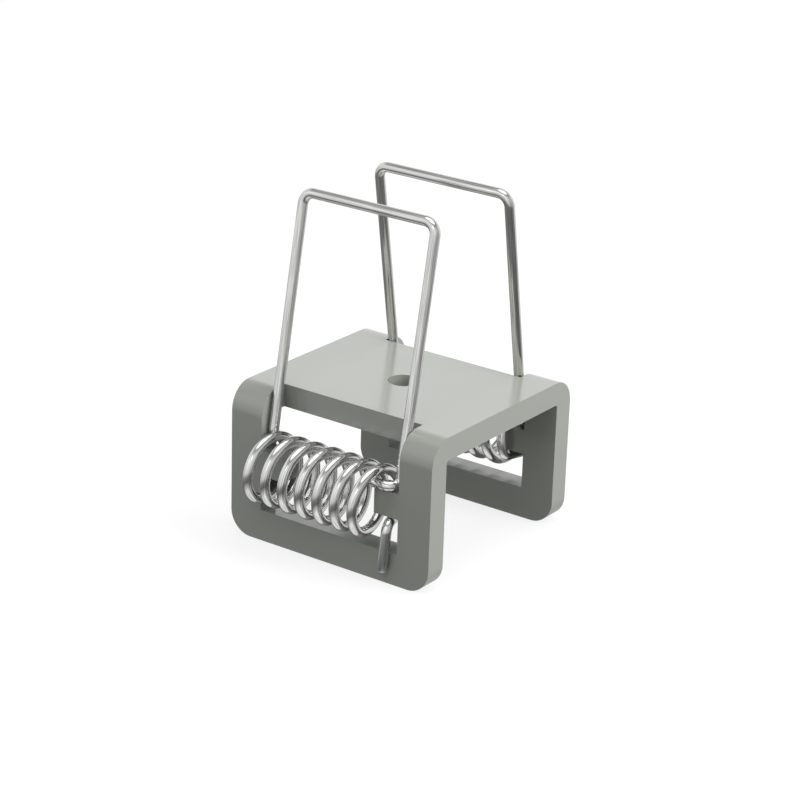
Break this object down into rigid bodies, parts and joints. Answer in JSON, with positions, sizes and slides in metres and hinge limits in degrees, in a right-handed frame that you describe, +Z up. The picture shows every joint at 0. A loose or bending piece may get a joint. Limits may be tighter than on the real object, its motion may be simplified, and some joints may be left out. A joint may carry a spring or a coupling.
{
  "type": "spring mounting bracket",
  "caption": "Folded U-shaped plate bracket with a screw hole, and a torsion spring with an upright wire bail wound round the window tongues of each flange.",
  "frame": {"origin": "centre between the two flanges and between their ends, in the plane of the feet", "axes": "+X along the flanges and the coils, towards the wire tails; +Y towards the rear flange; +Z up, from the feet to the bails' top bars"},
  "size_m": [0.0304, 0.0394, 0.0446],
  "materials": {
    "plate": "satin grey-green coat, softly reflective, on a folded plate with crisp cut edges",
    "spring_wire": "bright drawn spring wire with hard highlights"
  },
  "bodies": {
    "bracket_body": {"bracket": "plate", "front_coil": "spring_wire", "front_tail": "spring_wire", "rear_coil": "spring_wire", "rear_tail": "spring_wire"},
    "front_bail_body": {"front_bail": "spring_wire"},
    "rear_bail_body": {"rear_bail": "spring_wire"}
  },
  "joints": [
    {"name": "front_bail_turn", "type": "hinge", "parent": "bracket_body", "child": "front_bail_body", "pos_m": [0, -0.0149, 0.0102], "axis": [1, 0, 0], "range_deg": [0, 100], "stiffness_Nm_per_rad": 0.132, "springref_deg": -28.65, "deforming": ["front_coil"]},
    {"name": "rear_bail_turn", "type": "hinge", "parent": "bracket_body", "child": "rear_bail_body", "pos_m": [0, 0.0149, 0.0102], "axis": [-1, 0, 0], "range_deg": [0, 100], "stiffness_Nm_per_rad": 0.132, "springref_deg": -28.65, "deforming": ["rear_coil"]}
  ]
}
